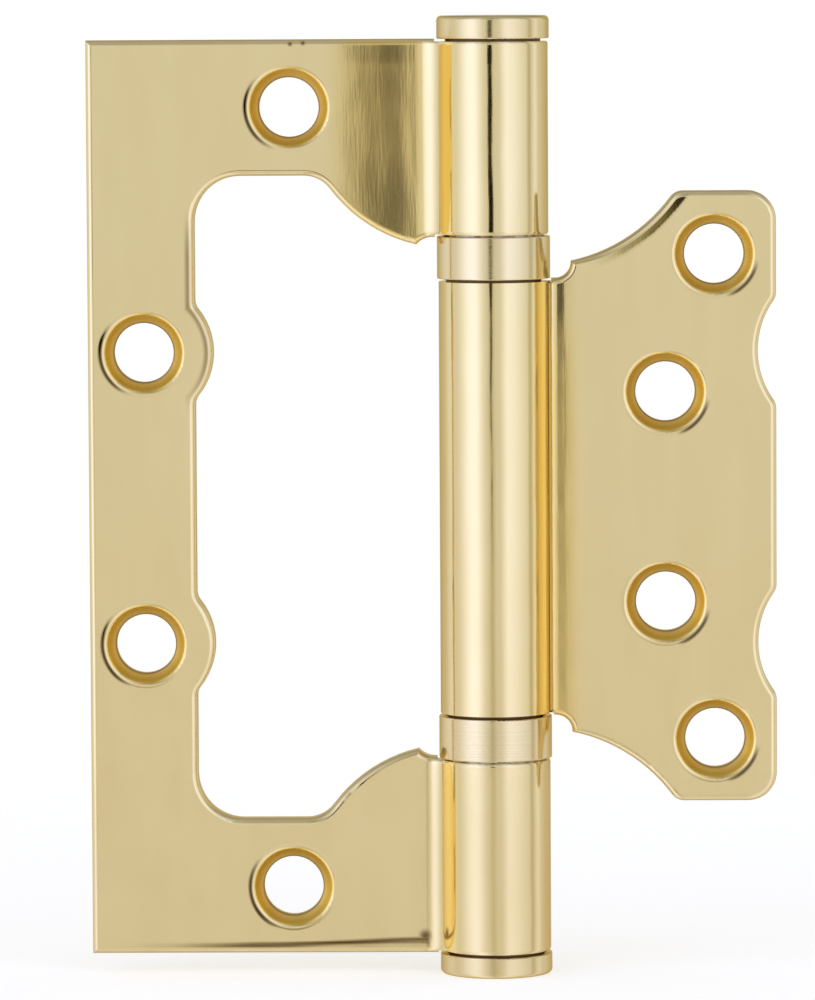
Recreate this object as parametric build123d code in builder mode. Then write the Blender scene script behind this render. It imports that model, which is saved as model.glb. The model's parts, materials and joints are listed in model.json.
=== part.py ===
"""Non-mortise (butterfly) door hinge with two ball bearings, opened flat.

The hinge is two leaves of folded sheet steel on one pin. The outer leaf is a frame
with a window and two knuckles. The inner leaf has one long knuckle and is shaped
like that window, less a gap all round, so that it folds into the window and the
closed hinge is one sheet thick. A ball bearing sits at each end of the long knuckle.

Frame: the origin is on the back face of the outer leaf, midway between the two
screws in its stile. +Z runs up the pin, +Y points into the wood, -Y is the face
that shows, and the inner leaf reaches towards +X. All sizes are in millimetres.
"""

import os
from math import acos, asin, atan2, degrees, hypot, pi, sqrt

from build123d import *

# Sheet, pin and knuckles
leaf_height = 100.0
sheet = 2.5
pin_diameter = 6.9
pin_clearance = 0.05
crank_radius = 2.5
seam_gap = 0.12
outer_knuckle_length = 20.95
bearing_space = 5.15
edge_round = 0.65
facing_depth = 0.3
facing_clearance = 0.3
seam_relief = 0.8

# Outer leaf, measured from the pin, from its free edge or from its ends
outer_reach = 44.3
stile_width = 11.7
stile_hole_edge = 6.1
stile_hole_spacing = 31.9
boss_radius = 7.6
boss_round = 1.6
arm_height = 14.8
arm_hole_edge = 22.1
arm_hole_end = 7.35
window_corner_radius = 5.0
shoulder_radius = 3.6
shoulder_to_side = 11.95
bulge_radius = 16.2
tip_to_pin = 8.4
relief_step = 1.1
notch_run = 1.75

# Inner leaf, measured from its own free edge and ends
nest_gap = 1.85
scallop_round = 1.5
corner_hole_edge = 6.75
corner_hole_end = 6.85
middle_hole_edge = 12.1
middle_hole_spacing = 23.0

# Screw holes
screw_hole_radius = 3.25
countersink_radius = 4.35
countersink_angle = 90
countersink_lip = 0.5

# Pin head and bottom plug
cap_overhang = 0.12
head_height = 2.5
plug_height = 2.3
cap_round = 0.5
cap_underside_round = 0.15
plug_shank_length = 5.0
plug_clearance = 0.02
pin_end_gap = 0.2
pin_tip_chamfer = 0.5

# Ball bearings
bearing_overhang = 0.17
cup_wall = 0.6
cup_rim_gap = 0.2
cup_base_gap = 0.3
cup_round = 0.15
washer_thickness = 1.9
washer_clearance = 0.1
race_bore_clearance = 0.1
ball_side_clearance = 0.12
ball_clearance = 0.02
ball_spacing = 0.3
groove_depth = 0.4
groove_clearance = 0.04

# Sizes that follow from those above
pin_radius = pin_diameter / 2
bore_radius = pin_radius + pin_clearance
knuckle_radius = bore_radius + sheet
knuckle_midline = bore_radius + sheet / 2
leaf_end = leaf_height / 2
knuckle_end = leaf_end - facing_depth
outer_gap_half = knuckle_end - outer_knuckle_length
inner_knuckle_half = outer_gap_half - bearing_space
relief_radius = knuckle_radius - seam_relief
past_barrel = 2 * knuckle_radius
crank_midline = crank_radius + sheet / 2
crank_to_curl = crank_midline + knuckle_midline
crank_x = sqrt(crank_to_curl**2 - crank_midline**2)

window_reach = outer_reach - stile_width
window_half = leaf_end - arm_height
inner_reach = window_reach - nest_gap
inner_half = window_half - nest_gap

# Each arm swells into the window along an arc that leaves the shoulder and ends at the tip.
shoulder_u = shoulder_to_side - window_reach
shoulder_v = window_half - shoulder_radius
tip_run = -tip_to_pin - shoulder_u
tip_drop = shoulder_v - outer_gap_half + relief_step
tip_distance = hypot(tip_run, tip_drop)
shoulder_reach = bulge_radius + shoulder_radius
along = (shoulder_reach**2 - bulge_radius**2 + tip_distance**2) / (2 * tip_distance)
across = sqrt(shoulder_reach**2 - along**2)
bulge_u = shoulder_u + (along * tip_run + across * tip_drop) / tip_distance
bulge_v = shoulder_v + (across * tip_run - along * tip_drop) / tip_distance

stile_hole_to_pin = outer_reach - stile_hole_edge
arm_hole_to_pin = outer_reach - arm_hole_edge
arm_hole_spacing = leaf_height - 2 * arm_hole_end
corner_hole_to_pin = inner_reach - corner_hole_edge
corner_hole_spacing = 2 * (inner_half - corner_hole_end)
middle_hole_to_pin = inner_reach - middle_hole_edge

cap_radius = knuckle_radius + cap_overhang
pin_end = leaf_end - plug_shank_length - pin_end_gap

cup_radius = knuckle_radius + bearing_overhang
cup_inner_radius = cup_radius - cup_wall
cup_base = inner_knuckle_half + cup_base_gap
cup_rim = outer_gap_half - cup_rim_gap
facing_radius = cup_radius + facing_clearance
race_bore_radius = pin_radius + race_bore_clearance
washer_radius = cup_inner_radius - washer_clearance
ball_radius = (cup_inner_radius - pin_radius) / 2 - ball_side_clearance
ball_circle = (cup_inner_radius + pin_radius) / 2
ball_count = int(pi / asin((ball_radius + ball_spacing / 2) / ball_circle))
groove_radius = ball_radius + groove_clearance
washer_face = outer_gap_half - washer_thickness
ball_height = washer_face + groove_depth - ball_clearance - ball_radius
cup_floor = ball_height - ball_radius - ball_clearance + groove_depth

# The pin axis stands half a sheet in front of the leaves' back faces.
pin_x = stile_hole_to_pin
pin_y = -sheet / 2
pin_axis = Axis((pin_x, pin_y, 0), (0, 0, 1))
pin_plane = Plane(origin=(pin_x, pin_y, 0))
turning_plane = Plane(origin=(pin_x, pin_y, 0), x_dir=(1, 0, 0), z_dir=(0, -1, 0))

# Each leaf is drawn reaching towards -X, the inner one from half a turn round the pin.
front_plane = Plane(origin=(pin_x, -sheet, 0), x_dir=(1, 0, 0), z_dir=(0, -1, 0))
turned_plane = Plane(origin=(pin_x, pin_y, 0), x_dir=(-1, 0, 0))
turned_front_plane = Plane(origin=(pin_x, 0, 0), x_dir=(-1, 0, 0), z_dir=(0, 1, 0))

os.makedirs("parts", exist_ok=True)


def pair(u, spacing):
    """Two places the same distance above and below the middle."""
    return [(u, spacing / 2), (u, -spacing / 2)]


def folded_sheet(plane, reach):
    """Section of a leaf: a flat, then a crank to the front, then a curl round the pin.

    The middle of the flat passes through the pin axis. The curl's outer corner stops a
    seam gap short of the back of the crank.
    """
    crank_turn = degrees(acos(crank_midline / crank_to_curl))
    curl_start = 270 - crank_turn
    back_of_crank = crank_radius + sheet + seam_gap
    squares = crank_to_curl**2 + knuckle_radius**2 - back_of_crank**2
    seam_angle = degrees(acos(squares / (2 * crank_to_curl * knuckle_radius))) + crank_turn - 90
    curl_turn = 540 - seam_angle - curl_start
    with BuildSketch(plane) as section:
        with BuildLine():
            front = Line((-reach, -sheet / 2), (-crank_x, -sheet / 2))
            CenterArc((-crank_x, -crank_midline), crank_radius, 90, -crank_turn)
            outside = CenterArc((0, 0), knuckle_radius, curl_start, curl_turn)
            inside = CenterArc((0, 0), bore_radius, curl_start, curl_turn)
            Line(outside @ 1, inside @ 1)
            CenterArc((-crank_x, -crank_midline), crank_radius + sheet, 90, -crank_turn)
            back = Line((-crank_x, sheet / 2), (-reach, sheet / 2))
            Line(back @ 1, front @ 0)
        make_face()
    return section.sketch


def nest_outline(plane, gap, knuckle_half, corner_round):
    """The window of the outer leaf, drawn smaller by a gap all round.

    With no gap it is the window itself. With the nest gap it is the outline of the inner
    leaf as it lies folded in the window. Between its tips and the barrel the outline
    steps to the end of the knuckle, which leaves room for the bearings.
    """
    top = window_half - gap
    side = window_reach - gap
    corner = window_corner_radius - gap
    shoulder = shoulder_radius - gap
    bulge = bulge_radius + gap
    shoulder_turn = degrees(atan2(bulge_u - shoulder_u, bulge_v - shoulder_v))
    tip_turn = degrees(asin((bulge_u + tip_to_pin) / bulge))
    tip_v = bulge_v - sqrt(bulge**2 - (bulge_u + tip_to_pin) ** 2)
    notch_u = notch_run - tip_to_pin
    with BuildSketch(plane) as outline:
        with BuildLine():
            Line((past_barrel, 0), (past_barrel, knuckle_half))
            Line((past_barrel, knuckle_half), (notch_u, knuckle_half))
            TangentArc((notch_u, knuckle_half), (-tip_to_pin, tip_v), tangent=(-1, 0))
            CenterArc((bulge_u, bulge_v), bulge, 270 - tip_turn, tip_turn - shoulder_turn)
            CenterArc((shoulder_u, shoulder_v), shoulder, 90, -shoulder_turn)
            Line((shoulder_u, top), (corner - side, top))
            CenterArc((corner - side, top - corner), corner, 90, 90)
            Line((-side, top - corner), (-side, 0))
            mirror(about=Plane.XZ)
        make_face()
        with Locations(*pair(-stile_hole_to_pin, stile_hole_spacing)):
            Circle(boss_radius + gap, mode=Mode.SUBTRACT)
        straight = top - corner
        side_points = outline.vertices().group_by(Axis.X)[0]
        corners = side_points.filter_by_position(Axis.Y, -straight, straight, (False, False))
        fillet(corners, corner_round)
    return outline.sketch


def screw_holes(leaf, places):
    """Countersunk screw holes from the front of a leaf, with rounded lips."""
    with Locations(front_plane):
        with Locations(*places):
            CounterSinkHole(
                screw_hole_radius, countersink_radius, counter_sink_angle=countersink_angle
            )
    rims = leaf.edges(Select.LAST).filter_by(GeomType.CIRCLE).group_by(Axis.Y)[0]
    fillet(rims, countersink_lip)


def face_knuckles(lowest, highest):
    """Cuts knuckle ends flat between two heights, with a cutter that turns on the pin axis."""
    with BuildSketch(pin_plane.offset(lowest)) as cutter:
        Circle(facing_radius)
    extrude(cutter.sketch, amount=highest - lowest, mode=Mode.SUBTRACT)


with BuildPart() as outer_leaf:
    extrude(folded_sheet(pin_plane, outer_reach), amount=leaf_end, both=True)
    window = nest_outline(front_plane, 0, outer_gap_half - facing_depth, boss_round)
    extrude(window, amount=past_barrel, both=True, mode=Mode.SUBTRACT)
    front_edges = outer_leaf.faces().filter_by(Axis.Y).sort_by(Axis.Y)[0].edges()
    crank_edges = front_edges.filter_by(Axis.Z).group_by(Axis.X)[-1]
    fillet(front_edges - crank_edges, edge_round)
    face_knuckles(knuckle_end, leaf_height)
    face_knuckles(-outer_gap_half, outer_gap_half)
    face_knuckles(-leaf_height, -knuckle_end)
    stile_holes = pair(-stile_hole_to_pin, stile_hole_spacing)
    arm_holes = pair(-arm_hole_to_pin, arm_hole_spacing)
    screw_holes(outer_leaf, stile_holes + arm_holes)

with BuildPart() as inner_leaf:
    extrude(folded_sheet(turned_plane, window_reach), amount=leaf_end, both=True)
    blank_half = inner_knuckle_half + facing_depth
    nested_leaf = nest_outline(turned_front_plane, nest_gap, blank_half, scallop_round)
    extrude(nested_leaf, amount=past_barrel, both=True, mode=Mode.INTERSECT)
    front_edges = inner_leaf.faces().filter_by(Axis.Y).sort_by(Axis.Y)[0].edges()
    crank_edges = front_edges.filter_by(Axis.Z).group_by(Axis.X)[0]
    fillet(front_edges - crank_edges, edge_round)
    face_knuckles(inner_knuckle_half, leaf_height)
    face_knuckles(-leaf_height, -inner_knuckle_half)
    corner_holes = pair(corner_hole_to_pin, corner_hole_spacing)
    middle_holes = pair(middle_hole_to_pin, middle_hole_spacing)
    screw_holes(inner_leaf, corner_holes + middle_holes)

# The pin is a rod with a flat button head on top. It stops short of the plug below it.
with BuildPart() as hinge_pin:
    with BuildSketch(turning_plane):
        with BuildLine():
            Polyline(
                (0, -pin_end),
                (pin_radius, -pin_end),
                (pin_radius, knuckle_end),
                (relief_radius, knuckle_end),
                (relief_radius, leaf_end),
                (cap_radius, leaf_end),
                (cap_radius, leaf_end + head_height),
                (0, leaf_end + head_height),
                close=True,
            )
        make_face()
    revolve(axis=pin_axis)
    chamfer(hinge_pin.edges().filter_by(GeomType.CIRCLE).sort_by(Axis.Z)[0], pin_tip_chamfer)
    fillet(hinge_pin.edges().filter_by(GeomType.CIRCLE).sort_by(Axis.Z)[-1], cap_round)
    cap_rims = hinge_pin.edges().filter_by(GeomType.CIRCLE).group_by(SortBy.RADIUS)[-1]
    fillet(cap_rims.sort_by(Axis.Z)[0], cap_underside_round)

# The plug is a slightly thinner button on a short shank, pressed into the lower knuckle.
with BuildPart() as bottom_plug:
    with BuildSketch(turning_plane):
        with BuildLine():
            Polyline(
                (0, -leaf_end - plug_height),
                (cap_radius, -leaf_end - plug_height),
                (cap_radius, -leaf_end),
                (relief_radius, -leaf_end),
                (relief_radius, -knuckle_end),
                (bore_radius - plug_clearance, -knuckle_end),
                (bore_radius - plug_clearance, plug_shank_length - leaf_end),
                (0, plug_shank_length - leaf_end),
                close=True,
            )
        make_face()
    revolve(axis=pin_axis)
    fillet(bottom_plug.edges().filter_by(GeomType.CIRCLE).sort_by(Axis.Z)[0], cap_round)
    cap_rims = bottom_plug.edges().filter_by(GeomType.CIRCLE).group_by(SortBy.RADIUS)[-1]
    fillet(cap_rims.sort_by(Axis.Z)[-1], cap_underside_round)


def bearing_cup(side):
    """The turned ring that shows: a cup on the end of the long knuckle, grooved for the balls."""
    with BuildPart() as cup:
        with BuildSketch(turning_plane):
            with BuildLine():
                Polyline(
                    (race_bore_radius, side * inner_knuckle_half),
                    (relief_radius, side * inner_knuckle_half),
                    (relief_radius, side * cup_base),
                    (cup_radius, side * cup_base),
                    (cup_radius, side * cup_rim),
                    (cup_inner_radius, side * cup_rim),
                    (cup_inner_radius, side * cup_floor),
                    (race_bore_radius, side * cup_floor),
                    close=True,
                )
            make_face()
            with Locations((ball_circle, side * (cup_floor - groove_depth + groove_radius))):
                Circle(groove_radius, mode=Mode.SUBTRACT)
        revolve(axis=pin_axis)
        fillet(cup.edges().filter_by(GeomType.CIRCLE).group_by(SortBy.RADIUS)[-1], cup_round)
    return cup


def race_washer(side):
    """The hardened washer on the end of an outer knuckle, grooved to run on the balls."""
    with BuildPart() as washer:
        with BuildSketch(turning_plane):
            with BuildLine():
                Polyline(
                    (race_bore_radius, side * washer_face),
                    (washer_radius, side * washer_face),
                    (washer_radius, side * outer_gap_half),
                    (race_bore_radius, side * outer_gap_half),
                    close=True,
                )
            make_face()
            with Locations((ball_circle, side * (washer_face + groove_depth - groove_radius))):
                Circle(groove_radius, mode=Mode.SUBTRACT)
        revolve(axis=pin_axis)
    return washer


def bearing_ball(side, angle):
    """One ball, between the cup's groove and the washer's."""
    with BuildPart(pin_plane.offset(side * ball_height)) as ball:
        with PolarLocations(ball_circle, 1, start_angle=angle):
            Sphere(ball_radius)
    return ball


pieces = {
    "outer_leaf": outer_leaf,
    "inner_leaf": inner_leaf,
    "hinge_pin": hinge_pin,
    "bottom_plug": bottom_plug,
}
for end, side in (("upper", 1), ("lower", -1)):
    pieces[f"{end}_bearing_cup"] = bearing_cup(side)
    pieces[f"{end}_race_washer"] = race_washer(side)
    for number in range(ball_count):
        pieces[f"{end}_ball_{number + 1:02d}"] = bearing_ball(side, 360 * number / ball_count)

for label, piece in pieces.items():
    piece.part.label = label
    export_step(piece.part, f"parts/{label}.step")
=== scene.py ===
"""A brass-plated butterfly door hinge, opened flat and standing on its lower plug.

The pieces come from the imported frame, in metres, with +Z up the pin and -Y towards the viewer.
The finishes measure in millimetres from the same origin.
"""

import json
from functools import reduce
from math import cos, degrees, radians, sin

import bpy
from mathutils import Matrix, Vector


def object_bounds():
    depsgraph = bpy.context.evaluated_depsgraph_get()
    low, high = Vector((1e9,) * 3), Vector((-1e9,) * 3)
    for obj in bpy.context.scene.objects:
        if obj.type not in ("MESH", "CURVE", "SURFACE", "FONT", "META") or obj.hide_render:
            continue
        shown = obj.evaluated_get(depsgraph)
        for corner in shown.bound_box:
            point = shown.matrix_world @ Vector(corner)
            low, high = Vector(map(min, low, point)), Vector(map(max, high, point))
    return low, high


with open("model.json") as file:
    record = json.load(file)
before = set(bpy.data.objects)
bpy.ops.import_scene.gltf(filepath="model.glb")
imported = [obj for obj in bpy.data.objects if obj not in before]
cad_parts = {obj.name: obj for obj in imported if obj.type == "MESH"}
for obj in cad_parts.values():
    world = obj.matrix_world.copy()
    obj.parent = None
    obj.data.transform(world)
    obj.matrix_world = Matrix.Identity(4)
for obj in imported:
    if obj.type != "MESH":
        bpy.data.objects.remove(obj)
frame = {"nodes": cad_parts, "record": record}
cad_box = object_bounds()
nodes = frame["nodes"]
record = frame["record"]

# The outer leaf is a frame of steel sheet, punched with a window, cranked to the front and curled round
# the pin. It is brass plated and polished up and down, which pulled its face a little out of flat. Burrs
# stay round its countersunk screw holes, each with a dark crescent beside it that is a painted reflection,
# and dark lines and two nicks mark some of its edges, the line at the lower edge being a painted
# reflection.
mm_per_metre = 1000.0


class Signal:
    """A number that changes over a surface. Python's operators on it add Math nodes."""

    def __init__(self, shader, socket):
        self.shader = shader
        self.socket = socket

    def math(self, operation, first, second=0.0):
        return self.shader.add("ShaderNodeMath", {"operation": operation}, {0: first, 1: second})

    def __add__(self, other):
        return self.math("ADD", self, other)

    def __radd__(self, other):
        return self.math("ADD", other, self)

    def __sub__(self, other):
        return self.math("SUBTRACT", self, other)

    def __rsub__(self, other):
        return self.math("SUBTRACT", other, self)

    def __mul__(self, other):
        return self.math("MULTIPLY", self, other)

    def __rmul__(self, other):
        return self.math("MULTIPLY", other, self)

    def __truediv__(self, other):
        return self.math("DIVIDE", self, other)

    def __rtruediv__(self, other):
        return self.math("DIVIDE", other, self)

    def __pow__(self, other):
        return self.math("POWER", self, other)

    def __abs__(self):
        return self.math("ABSOLUTE", self)

    def least(self, other):
        return self.math("MINIMUM", self, other)

    def most(self, other):
        return self.math("MAXIMUM", self, other)

    def step(self, start, end):
        """0 up to the start, 1 from the end on and smooth between them. Either may be the higher."""
        return self.shader.add(
            "ShaderNodeMapRange",
            {"interpolation_type": "SMOOTHSTEP"},
            {"Value": self, "From Min": start, "From Max": end},
        )

    def bump(self, centre, width):
        """1 at the centre, falling smoothly to 0 a width away on both sides."""
        return 1 - abs(self - centre).step(0, width)

    def bend(self, start, length):
        """A height that is level below start, then rises with a slope that grows to 1 over a length."""
        past = self - start
        curved = past.most(0).least(length)
        return curved * curved / (2 * length) + (past - length).most(0)


class Shader:
    """The nodes of one finish, of the floor or of the studio."""

    grazing_tint = (1.0, 0.86, 0.60, 1)

    def __init__(self, owner):
        owner.use_nodes = True
        self.tree = owner.node_tree
        self.tree.nodes.clear()

    def add(self, kind, settings=None, inputs=None, output=0):
        """Adds a node, sets it up, fills its sockets with values or links and returns one output."""
        node = self.tree.nodes.new(kind)
        for name, value in (settings or {}).items():
            setattr(node, name, value)
        for name, value in (inputs or {}).items():
            if isinstance(value, Signal):
                self.tree.links.new(value.socket, node.inputs[name])
            else:
                node.inputs[name].default_value = value
        if node.outputs:
            return Signal(self, node.outputs[output])

    def place(self):
        """Where a point lies on the piece, in millimetres."""
        metres = self.add("ShaderNodeTexCoord", output="Object")
        scaled = self.add(
            "ShaderNodeVectorMath", {"operation": "SCALE"}, {0: metres, "Scale": mm_per_metre}
        )
        return [self.add("ShaderNodeSeparateXYZ", {}, {0: scaled}, axis) for axis in "XYZ"]

    def vector(self, x, y, z):
        return self.add("ShaderNodeCombineXYZ", {}, {0: x, 1: y, 2: z})

    def noise(self, place, lump, detail=2.0):
        """Soft random unevenness from -1 to 1, in lumps that have a length along each axis."""
        scaled = [part / length for part, length in zip(place, lump)]
        cloud = self.add(
            "ShaderNodeTexNoise", {}, {"Vector": self.vector(*scaled), "Scale": 1.0, "Detail": detail}
        )
        return 2 * cloud - 1

    def mix(self, share, first, second):
        """One colour where the share is 0 and the other where it is 1."""
        first, second = ((*part, 1) if isinstance(part, tuple) else part for part in (first, second))
        return self.add("ShaderNodeMix", {"data_type": "RGBA"}, {0: share, 6: first, 7: second}, 2)

    def metal(self, colour, roughness, height):
        """Bare metal, a little warmer where its surface turns away from the eye.

        The height is in millimetres and stands out from the piece.
        """
        normal = self.add(
            "ShaderNodeBump", {}, {"Strength": 1.0, "Distance": 1 / mm_per_metre, "Height": height}
        )
        surface = self.add(
            "ShaderNodeBsdfPrincipled",
            {},
            {
                "Base Color": colour,
                "Metallic": 1.0,
                "Roughness": roughness,
                "Specular Tint": self.grazing_tint,
                "Normal": normal,
            },
        )
        self.add("ShaderNodeOutputMaterial", {}, {"Surface": surface})


def finish(name):
    return bpy.data.materials.new(name)


def dress(material, *names):
    """Gives CAD nodes a finish in place of their plain one."""
    for name in names:
        mesh = nodes[name].data
        mesh.materials.clear()
        mesh.materials.append(material)


joints = {joint["name"]: joint for joint in record["behaviour"]["joints"]}
mounts = {mount["name"]: mount for mount in record["mounts"]}
pin_place = joints["leaf_swing"]["pos_m"]
pin_x = pin_place[0] * mm_per_metre
pin_y = pin_place[1] * mm_per_metre
leaf_end = 50.0
sheet_front = -2.5
hole_radius = mounts["stile_screws"]["dims"]["hole_r_mm"]
countersink_radius = 4.35

bright_brass = (0.835, 0.705, 0.395)
dull_brass = (0.80, 0.665, 0.36)
deep_brass = (0.88, 0.66, 0.22)
# The countersinks are painted a deeper gold that stands for light bounced between their faces, with a ring
# of painted shade inside them and painted shade at the bore's lip
cone_painted_bounce_gold = (0.92, 0.66, 0.20)
cone_shade = (0.74, 0.48, 0.08)
lip_shade = (0.36, 0.25, 0.12)
# A painted bounce light: a gold band in the valley beside the knuckle, standing for light bounced between
# knuckle and leaf
valley_painted_bounce_gold = (0.99, 0.80, 0.32)
shaded_brass = (0.68, 0.51, 0.22)
# A dark brown for nicks and lines along the edges; the line at the lower edge is a painted reflection
marks_and_painted_reflection_brown = (0.15, 0.075, 0.02)
# A near-black brown for the dark crescents painted beside the burrs, standing for the burrs' reflections
painted_dark_crescent = (0.08, 0.05, 0.02)

# Depths from front to back, then distances from the pin, over which parts of the leaf end or begin
front_ends = (-1.0, -0.6)
knuckle_front_ends = (-4.0, -3.0)
edge_begins = (sheet_front + 0.03, sheet_front + 0.3)
flat_begins = (8.5, 9.5)
far_side_begins = (4.6, 5.6)
valley_distance = 5.0
valley_width = 1.3

# Lengths of the lumps of each unevenness across, through and up the leaf, and their heights
streak_lump = (0.25, 0.25, 2.8)
patch_lump = (3.0, 3.0, 7.0)
wave_lump = (6.0, 6.0, 9.0)
tone_lump = (3.5, 3.5, 16.0)
streak_height = 0.0010
brushed_streak_height = 0.0022
patch_height = 0.012
wave_height = 0.034

# Rings round each screw hole, from the bore outwards
bore_lip_ends = (hole_radius, hole_radius + 0.2)
# A ring of painted shade inside each countersink
cone_shade_radius = countersink_radius - 0.35
cone_shade_width = 0.6
cone_ends = (countersink_radius - 0.15, countersink_radius + 0.15)
rim_radius = countersink_radius + 0.23
rim_width = 0.3
rim_height = 0.008
burr_radius = countersink_radius + 0.31
burr_width = 0.45
burr_height = 0.02
# A dark crescent is painted just outside each burr, standing for the burr's dark reflection
painted_crescent_radius = countersink_radius + 0.40
painted_crescent_width = 0.36

# Lengths over which a brushed patch fades in at its left end and out at its right end
brush_fade_in = 5.0
brush_fade_out = 2.5

# Roughness of the polished faces, and what the countersinks and the rounded edges add to it
polished_roughness = 0.085
cone_roughness = 0.07
edge_roughness = 0.15


def screw_places(*mount_names):
    """The two hole centres of each pair of screws, across and up the leaf in millimetres."""
    places = []
    for name in mount_names:
        mount = mounts[name]
        x, _, z = (part * mm_per_metre for part in mount["pos_m"])
        half = mount["dims"]["spacing_y_mm"] / 2
        places += [(x, z + half), (x, z - half)]
    return places


def distance_between(first, second, place):
    """How far a point lies from a place, measured along two of the axes."""
    across = first - place[0]
    along = second - place[1]
    return (across * across + along * along) ** 0.5


def leaf_finish(name, holes, form, side, brushed, burr, marks_and_painted_reflection=None):
    """Polished plating with streaks, soft waves, countersink marks and a face slightly out of flat, with
    painted
    light and shade: bounced gold in the countersinks and the knuckle's valley, and shade beyond the
    knuckle.

    The form gives the height of the face, and the side is 1 for a leaf to the right of the pin and -1 for
    one to the left. The brushed patch has a left and a right end, a height at which it is still polished,
    one at which it is fully brushed, and the roughness that it adds. The burr has a direction from its
    hole, and the cosines of the angles to that direction at which it starts and at which it is full.
    The last argument, where given, gives the share of dark brown along the edges: nicks, and dark lines of
    which the lower one is a painted reflection.
    """
    material = finish(name)
    shader = Shader(material)
    place = shader.place()
    x, y, z = place
    front = 1 - y.step(*front_ends)
    knuckle_front = 1 - y.step(*knuckle_front_ends)
    # Where the valley beside the knuckle gets its painted gold band of bounced light
    valley_bounce_share = (side * (x - pin_x)).bump(valley_distance, valley_width) * knuckle_front
    far_side = (side * (pin_x - x)).step(*far_side_begins) * knuckle_front
    edge = y.step(*edge_begins) * abs(x - pin_x).step(*flat_begins) * front
    left, right, polished_z, brushed_z, brushed_roughness = brushed
    brush = x.step(left, left + brush_fade_in) * (1 - x.step(right - brush_fade_out, right))
    brush = brush * z.step(polished_z, brushed_z) * front
    streaks = shader.noise(place, streak_lump, 3.0)
    patches = shader.noise(place, patch_lump, 1.0)
    waves = shader.noise(place, wave_lump, 1.0)
    tone = shader.noise(place, tone_lump)
    height = (streak_height + brushed_streak_height * brush) * streaks + patch_height * brush * patches
    height = height + wave_height * waves + form(x, z)

    burr_side, burr_start, burr_full = burr
    radii = []
    crescents = []
    for hole in holes:
        radius = distance_between(x, z, hole)
        facing = ((x - hole[0]) * burr_side[0] + (z - hole[1]) * burr_side[1]) / radius.most(0.1)
        beside = facing.step(burr_start, burr_full) * front
        height = height + burr_height * radius.bump(burr_radius, burr_width) * beside
        # Paint the burr's dark reflection as a crescent beside it
        crescents.append(radius.bump(painted_crescent_radius, painted_crescent_width) * beside)
        radii.append(radius)
    from_hole = reduce(Signal.least, radii)
    painted_crescent_share = reduce(Signal.most, crescents)
    height = height + rim_height * from_hole.bump(rim_radius, rim_width) * front
    cone = (1 - from_hole.step(*cone_ends)) * front
    # Painted bounced light in the countersink, a painted shade ring inside it and painted shade at the
    # bore's lip
    cone_colour = shader.mix(from_hole.bump(cone_shade_radius, cone_shade_width), cone_painted_bounce_gold, cone_shade)
    cone_colour = shader.mix(1 - from_hole.step(*bore_lip_ends), cone_colour, lip_shade)

    colour = shader.mix(0.5 + 0.9 * tone, dull_brass, bright_brass)
    colour = shader.mix(0.65 * brush, colour, deep_brass)
    colour = shader.mix(cone, colour, cone_colour)
    # The painted gold band of bounced light in the valley
    colour = shader.mix(0.85 * valley_bounce_share, colour, valley_painted_bounce_gold)
    colour = shader.mix(0.7 * far_side, colour, shaded_brass)
    # The painted dark reflections of the burrs
    colour = shader.mix(0.95 * painted_crescent_share, colour, painted_dark_crescent)
    # Dark edge marks: nicks, and lines of which the lower one is a painted reflection
    if marks_and_painted_reflection:
        colour = shader.mix(marks_and_painted_reflection(x, z) * front, colour, marks_and_painted_reflection_brown)
    roughness = polished_roughness + 0.02 * streaks + 0.015 * tone + cone_roughness * cone
    roughness = roughness + brushed_roughness * brush + edge_roughness * edge
    shader.metal(colour, roughness, height)
    return material


def bent(x, bends):
    """The height of a face across the leaf.

    Each bend is the slope that it adds, its place to the right of the pin and the length that it takes.
    """
    return sum(slope * x.bend(pin_x + start, length) for slope, start, length in bends)


stile_holes = screw_places("stile_screws")
window_side = 5.6
boss_radius = 7.6


def from_window(x, z):
    """How far a point of the stile lies from the window."""
    inside = window_side - x
    for hole in stile_holes:
        inside = inside.most(boss_radius - distance_between(x, z, hole))
    return inside


face_lean = 0.0734
upper_bends = [
    (0.083, -20.0, 6.5),
    (0.029, -12.3, 1.4),
    (0.042, -10.4, 1.2),
    (0.0954, -8.5, 1.2),
    (-0.176, -7.4, 1.4),
]
lower_bends = [(face_lean, -8.4, 1.4)]
halves_meet = (-10, 10)
tilt_slope = 0.032
tilt_top = 38
tilt_bottom = 28
tilt_length = 6
top_roll = 0.045
top_roll_begins = (47.2, 49.6)
lip_height = 0.014
lip_distance = 0.4
lip_width = 0.6
lip_begins = (8, 15)
lip_ends = (28, 34)
lower_roll = 0.06
lower_roll_ends = (0.2, 1.4)
lower_roll_grows = (-4, 22)


def outer_form(x, z):
    """The height of the face, which leans a little to the right.

    The upper arm swings back before the crank, and the lower one at it. A band below the top, with the
    tip of the upper arm in it, tilts, and the top edge rolls away. The upper half of the stile keeps
    a faint raised lip along the window and its boss. The lower edge rolls away too, more so towards the
    knuckle.
    """
    upper = z.step(*halves_meet)
    down = 0 - z
    tilt = tilt_slope * (down.bend(-tilt_top, tilt_length) - down.bend(-tilt_bottom, tilt_length))
    tilt = tilt - top_roll * z.step(*top_roll_begins)
    lip = lip_height * from_window(x, z).bump(lip_distance, lip_width)
    lip = lip * z.step(*lip_begins) * (1 - z.step(*lip_ends))
    roll = lower_roll * (1 - (z + leaf_end).step(*lower_roll_ends)) * x.step(*lower_roll_grows)
    roll = roll * (1 - x.step(pin_x - 8, pin_x - 6))
    arms = upper * bent(x, upper_bends) + (1 - upper) * bent(x, lower_bends)
    return lip + tilt - roll - face_lean * x + arms


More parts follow.
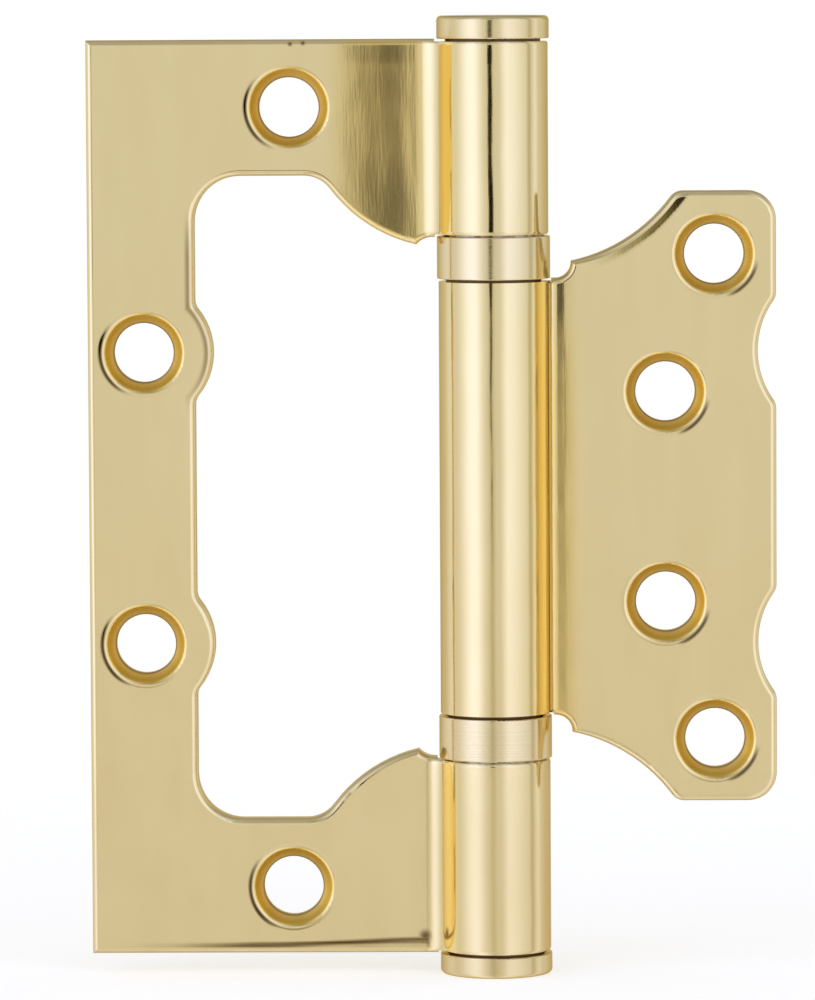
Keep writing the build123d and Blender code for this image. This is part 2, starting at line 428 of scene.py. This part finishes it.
outer_holes = stile_holes + screw_places("arm_screws")
outer_brushed = (pin_x - 19.0, pin_x - 6.5, -5, 15, 0.09)
outer_burr = ((-0.97, -0.24), 0.5, 0.95)
edge_nicks = [(16.2, 49.5), (17.6, 49.6)]
nick_radius = 0.4
lower_corner = (pin_x - 7.8, -48.1)
corner_spot_width = 0.9
lower_line_width = 0.45
lower_line_climbs = (12, 31)
lower_line_darkens = (-6, 26)
window_line_distance = 0.75
window_line_width = 0.5
window_line_begins = (9, 15)
window_line_ends = (26, 32)


def outer_marks_and_painted_reflection(x, z):
    """The share of dark brown along the edges.

    A painted dark reflection runs along the lower edge and ends in a painted dark spot at the crank, a
    fainter dark line follows the upper half of the stile's edge at the window, and the upper edge has two
    nicks.
    """
    line_rise = 0.85 + 0.65 * x.step(*lower_line_climbs)
    marks = (z + leaf_end - line_rise).bump(0, lower_line_width) * x.step(*lower_line_darkens)
    marks = marks * (1 - x.step(pin_x - 7.6, pin_x - 7.1))
    marks = marks.most(distance_between(x, z, lower_corner).bump(0.1, corner_spot_width))
    window_line = 0.6 * from_window(x, z).bump(window_line_distance, window_line_width)
    marks = marks.most(window_line * z.step(*window_line_begins) * (1 - z.step(*window_line_ends)))
    for nick in edge_nicks:
        marks = marks.most(distance_between(x, z, nick).bump(0, nick_radius))
    return 0.9 * marks


outer_finish = leaf_finish(
    "polished_outer_leaf", outer_holes, outer_form, -1, outer_brushed, outer_burr, outer_marks_and_painted_reflection
)
dress(outer_finish, "outer_leaf")

# The inner leaf is punched from the same sheet, with one long knuckle that curls the other way, and folds
# into the window of the outer one. It is polished and plated in the same bath. Its face leans a little to
# the right and rolls away at the knuckle and along the edge that sweeps up from it.
inner_bends = [(-0.068, 6.3, 0.75), (0.101, 7.05, 0.5), (-0.048, 7.55, 0.5), (-0.035, 8.2, 1.2)]
sweep_centre = (pin_x + 4.78, 43.44)
sweep_radius = 18.05
sweep_roll = 0.15


def inner_form(x, z):
    """The height of the face."""
    inside = distance_between(x, z, sweep_centre) - sweep_radius
    roll = sweep_roll * (1 - inside.step(0, 1.7)) * x.step(pin_x + 8, pin_x + 12)
    return bent(x, inner_bends) - roll


inner_holes = screw_places("inner_corner_screws", "inner_middle_screws")
inner_brushed = (pin_x + 2.5, pin_x + 10.0, 28, 10, 0.08)
inner_burr = ((0.75, -0.66), 0.82, 0.99)
inner_finish = leaf_finish("polished_inner_leaf", inner_holes, inner_form, 1, inner_brushed, inner_burr)
dress(inner_finish, "inner_leaf")

# The pin is a turned rod with a button head, and the plug below it is a turned button on a shank. The
# bearing cups are turned rings, plated a little paler. All keep the fine rings that the lathe left, and
# all that lies inside the barrel is dark brown, partly old grease and partly painted shade in the seams.
button_brass = (0.80, 0.665, 0.37)
pale_brass = (0.82, 0.695, 0.42)
grease_and_painted_shade = (0.15, 0.095, 0.04)
lathe_lump = (0.16, 0.16, 1.0)
turned_wave_lump = (4.0, 4.0, 4.0)
grease_and_shade_ends_across = (5.3, 5.6)
grease_and_shade_ends_up = (leaf_end + 0.05, leaf_end + 0.2)


def turned_finish(name, plating):
    """Plating over fine lathe rings, with dark brown, partly grease and partly painted shade, on all that
    lies inside the barrel.
    """
    material = finish(name)
    shader = Shader(material)
    x, y, z = shader.place()
    radius = distance_between(x, y, (pin_x, pin_y))
    grooves = shader.noise((radius, z, 0.0), lathe_lump, 3.0)
    waves = shader.noise((x, y, z), turned_wave_lump)
    colour = shader.mix(0.5 + 0.5 * waves, tuple(0.95 * part for part in plating), plating)
    # Dark brown inside the barrel: partly old grease, partly painted shade that darkens the seams between
    # knuckles
    grease_and_shade_share = (1 - radius.step(*grease_and_shade_ends_across)) * (1 - abs(z).step(*grease_and_shade_ends_up))
    colour = shader.mix(grease_and_shade_share, colour, grease_and_painted_shade)
    shader.metal(colour, 0.14 + 0.04 * grooves + 0.3 * grease_and_shade_share, 0.0022 * grooves + 0.004 * waves)
    return material


dress(turned_finish("turned_brass", button_brass), "hinge_pin", "bottom_plug")
dress(turned_finish("turned_pale_brass", pale_brass), "upper_bearing_cup", "lower_bearing_cup")

# The balls and the race washers are hardened bearing steel. They run in a little grease inside the cups,
# where only the rim of the washer shows through the gap. The washers are dark brown, partly as grease and
# partly as painted shade that darkens that gap.
steel = (0.56, 0.55, 0.53)
greasy_steel = (0.38, 0.35, 0.29)
grease_lump = (1.5, 1.5, 1.5)


def greased_finish(name, clean, greasy):
    """Smooth steel under an uneven film of grease."""
    material = finish(name)
    shader = Shader(material)
    grease = shader.noise(shader.place(), grease_lump)
    film = grease.step(-0.2, 0.4)
    shader.metal(shader.mix(film, clean, greasy), 0.10 + 0.15 * film, 0.003 * grease)
    return material


ball_names = [name for name in nodes if "_ball_" in name]
dress(greased_finish("bearing_steel", steel, greasy_steel), *ball_names)
# The washers are dark brown, partly grease and partly painted shade in the gap between the cup and the
# knuckle
dress(greased_finish("greased_and_shaded_steel", greasy_steel, grease_and_painted_shade), "upper_race_washer", "lower_race_washer")

# The hinge stands on a pale matt floor that fades into a white background. The floor glows a little, so
# that it is white where the hinge doesn't shade it, and is mostly clear to the metal, so that the polished
# faces show more of the studio than of the floor.
floor_level = cad_box[0][2]
floor_radius = 0.24
floor_fades_from = 0.10
floor_colour = (0.85, 0.85, 0.85, 1)
glow_to_eye = 0.50
glow_in_reflections = 0.30
clear_to_metal = 0.75
bpy.ops.object.select_all(action="DESELECT")
bpy.ops.mesh.primitive_circle_add(
    vertices=96, radius=floor_radius, fill_type="NGON", location=(pin_place[0], pin_place[1], floor_level)
)
floor = bpy.context.object
floor.name = "floor"
bpy.ops.object.transform_apply(location=True)
pale_floor = finish("pale_floor")
floor.data.materials.append(pale_floor)
shader = Shader(pale_floor)
x, y, _ = shader.place()
distance = distance_between(x, y, (pin_x, pin_y))
to_eye, to_metal, to_glass = (
    shader.add("ShaderNodeLightPath", output=kind)
    for kind in ("Is Camera Ray", "Is Glossy Ray", "Is Transmission Ray")
)
seen = glow_to_eye * to_eye + glow_in_reflections * (to_metal + to_glass)
matt = shader.add("ShaderNodeBsdfDiffuse", {}, {"Color": floor_colour})
glow = shader.add("ShaderNodeEmission", {}, {"Color": shader.vector(seen, seen, seen), "Strength": 1.0})
lit = shader.add("ShaderNodeAddShader", {}, {0: matt, 1: glow})
clear = shader.add("ShaderNodeBsdfTransparent")
fade = distance.step(mm_per_metre * floor_fades_from, mm_per_metre * floor_radius)
faded = shader.add(
    "ShaderNodeMixShader", {}, {0: fade.most(clear_to_metal * to_metal), 1: lit, 2: clear}
)
shader.add("ShaderNodeOutputMaterial", {}, {"Surface": faded})

# The studio is a white tent with a soft box on each side, and a dim card, a dark wedge and a table edge by
# the camera. A post on the right, the back and the ceiling are dim. Directions are degrees to the right of
# the front and degrees above the level, and bright cloth is whiter than dim cloth.
studio = bpy.data.worlds.new("studio")
bpy.context.scene.world = studio
shader = Shader(studio)
direction = shader.add("ShaderNodeTexCoord", output="Generated")
east, north, up = (shader.add("ShaderNodeSeparateXYZ", {}, {0: direction}, axis) for axis in "XYZ")
degrees_per_radian = degrees(1)
turn = degrees_per_radian * east.math("ARCTAN2", east, 0 - north)
rise = degrees_per_radian * up.math("ARCSINE", up)
cloth = 0.80
left_box = (1 - turn.step(-42, -12)) * turn.step(-90, -45)
right_box = turn.step(9, 30) * (1 - turn.step(28, 90))
card = turn.bump(-5, 10.5)
post = turn.bump(82.5, 9)
back = turn.step(118, 155) + (1 - turn.step(-160, -120))
glints = 0.10 * turn.bump(-108, 20) + 0.18 * turn.bump(100, 12)
sides = 0.48 * left_box + 0.35 * right_box + glints - 0.17 * card - 0.24 * post - 0.27 * back
light = 1.02 * cloth + sides * (1 - rise.step(45, 75))
wedge_turn = -5.6
wedge_width = (1.15 * (rise + 4.8)).most(0).least(4.6)
wedge = 1 - (abs(turn - wedge_turn) - wedge_width).step(-0.8, 0.8)
wedge = wedge * rise.step(-4.5, -3.4) * (1 - rise.step(6, 14))
table_edge = rise.bump(-13.0, 4.5) * turn.bump(-2, 20).step(0, 0.6)
share = light * (1 - 0.99 * wedge) * (1 - 0.85 * table_edge) / cloth
level = cloth * (1 - 0.40 * rise.step(12, 45))
low = 1 - rise.step(-8, -2)
green = (1 - 0.05 * low) * share**1.15
blue = (1 - 0.10 * low) * share**1.8
tinted = shader.vector(level * share, level * green, level * blue)
to_eye = shader.add("ShaderNodeLightPath", output="Is Camera Ray")
seen = shader.mix(to_eye, tinted, (1, 1, 1))
background = shader.add("ShaderNodeBackground", {}, {"Color": seen, "Strength": 1.0})
shader.add("ShaderNodeOutputWorld", {}, {"Surface": background})

# The camera stands well back, a little to the right and a little above, with a long lens, and leans
# slightly, as in the photograph.
camera_turn = radians(1.12)
camera_rise = radians(4.29)
camera_lean = radians(-0.318)
camera_distance = 0.8
aim = Vector((0.02868, -0.00125, -0.00031))
facing = Vector((sin(camera_turn), -cos(camera_turn), 0))
backward = cos(camera_rise) * facing + sin(camera_rise) * Vector((0, 0, 1))
level_right = Vector((cos(camera_turn), sin(camera_turn), 0))
level_up = backward.cross(level_right)
right = cos(camera_lean) * level_right + sin(camera_lean) * level_up
upward = cos(camera_lean) * level_up - sin(camera_lean) * level_right
turned = Matrix((right, upward, backward)).transposed().to_4x4()
lens = bpy.data.cameras.new("camera")
lens.lens = 263.5
lens.sensor_width = 36.0
lens.clip_start = 0.01
camera = bpy.data.objects.new("camera", lens)
camera.matrix_world = Matrix.Translation(aim + camera_distance * backward) @ turned
bpy.context.collection.objects.link(camera)
bpy.context.scene.camera = camera

bpy.context.scene.view_settings.view_transform = "Standard"
